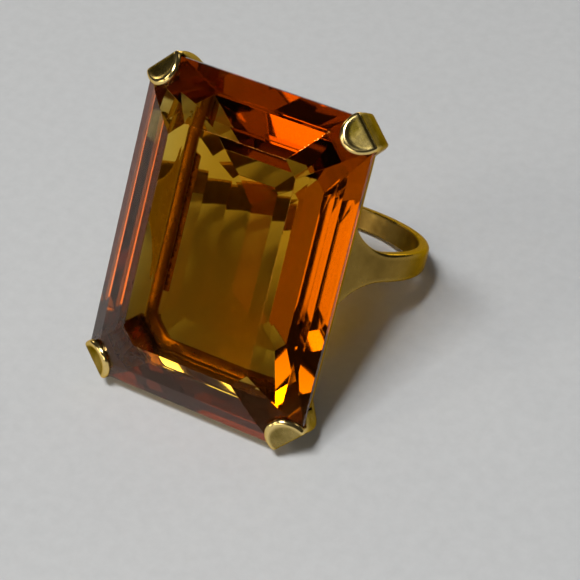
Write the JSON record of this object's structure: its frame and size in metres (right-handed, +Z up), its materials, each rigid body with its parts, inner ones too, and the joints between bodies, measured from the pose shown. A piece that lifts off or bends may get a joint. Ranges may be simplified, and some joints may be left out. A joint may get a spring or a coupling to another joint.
{
  "type": "cocktail ring",
  "caption": "Cocktail ring with a large octagonal step-cut amber stone in an open four-claw basket on a flared gold shank, lying on its side.",
  "frame": {"origin": "on the surface that the ring lies on, under the middle of its bounding box", "axes": "+Z up; +X across the stone's width; the stone's flat table faces -Y and 29.5 degrees up, and the bottom of the shank is towards +Y. The finger's axis is 29.5 degrees from +Z, towards +Y"},
  "size_m": [0.0208, 0.0294, 0.0252],
  "materials": {
    "stone": "polished flat facets, clear amber orange, slightly worn facet edges",
    "basket_gold": "yellow gold, hand finished, darkened in the corners",
    "shank_gold": "yellow gold, worn to a soft shine with fine scratches",
    "claw_gold": "yellow gold, burnished bright on the edges"
  },
  "bodies": {
    "root": {"stone": "stone", "seat_rail": "basket_gold", "base_rail": "basket_gold", "shank": "shank_gold", "shoulder_right": "shank_gold", "shoulder_left": "shank_gold", "claw_upper_right": "claw_gold", "claw_upper_left": "claw_gold", "claw_lower_left": "claw_gold", "claw_lower_right": "claw_gold"}
  },
  "joints": []
}
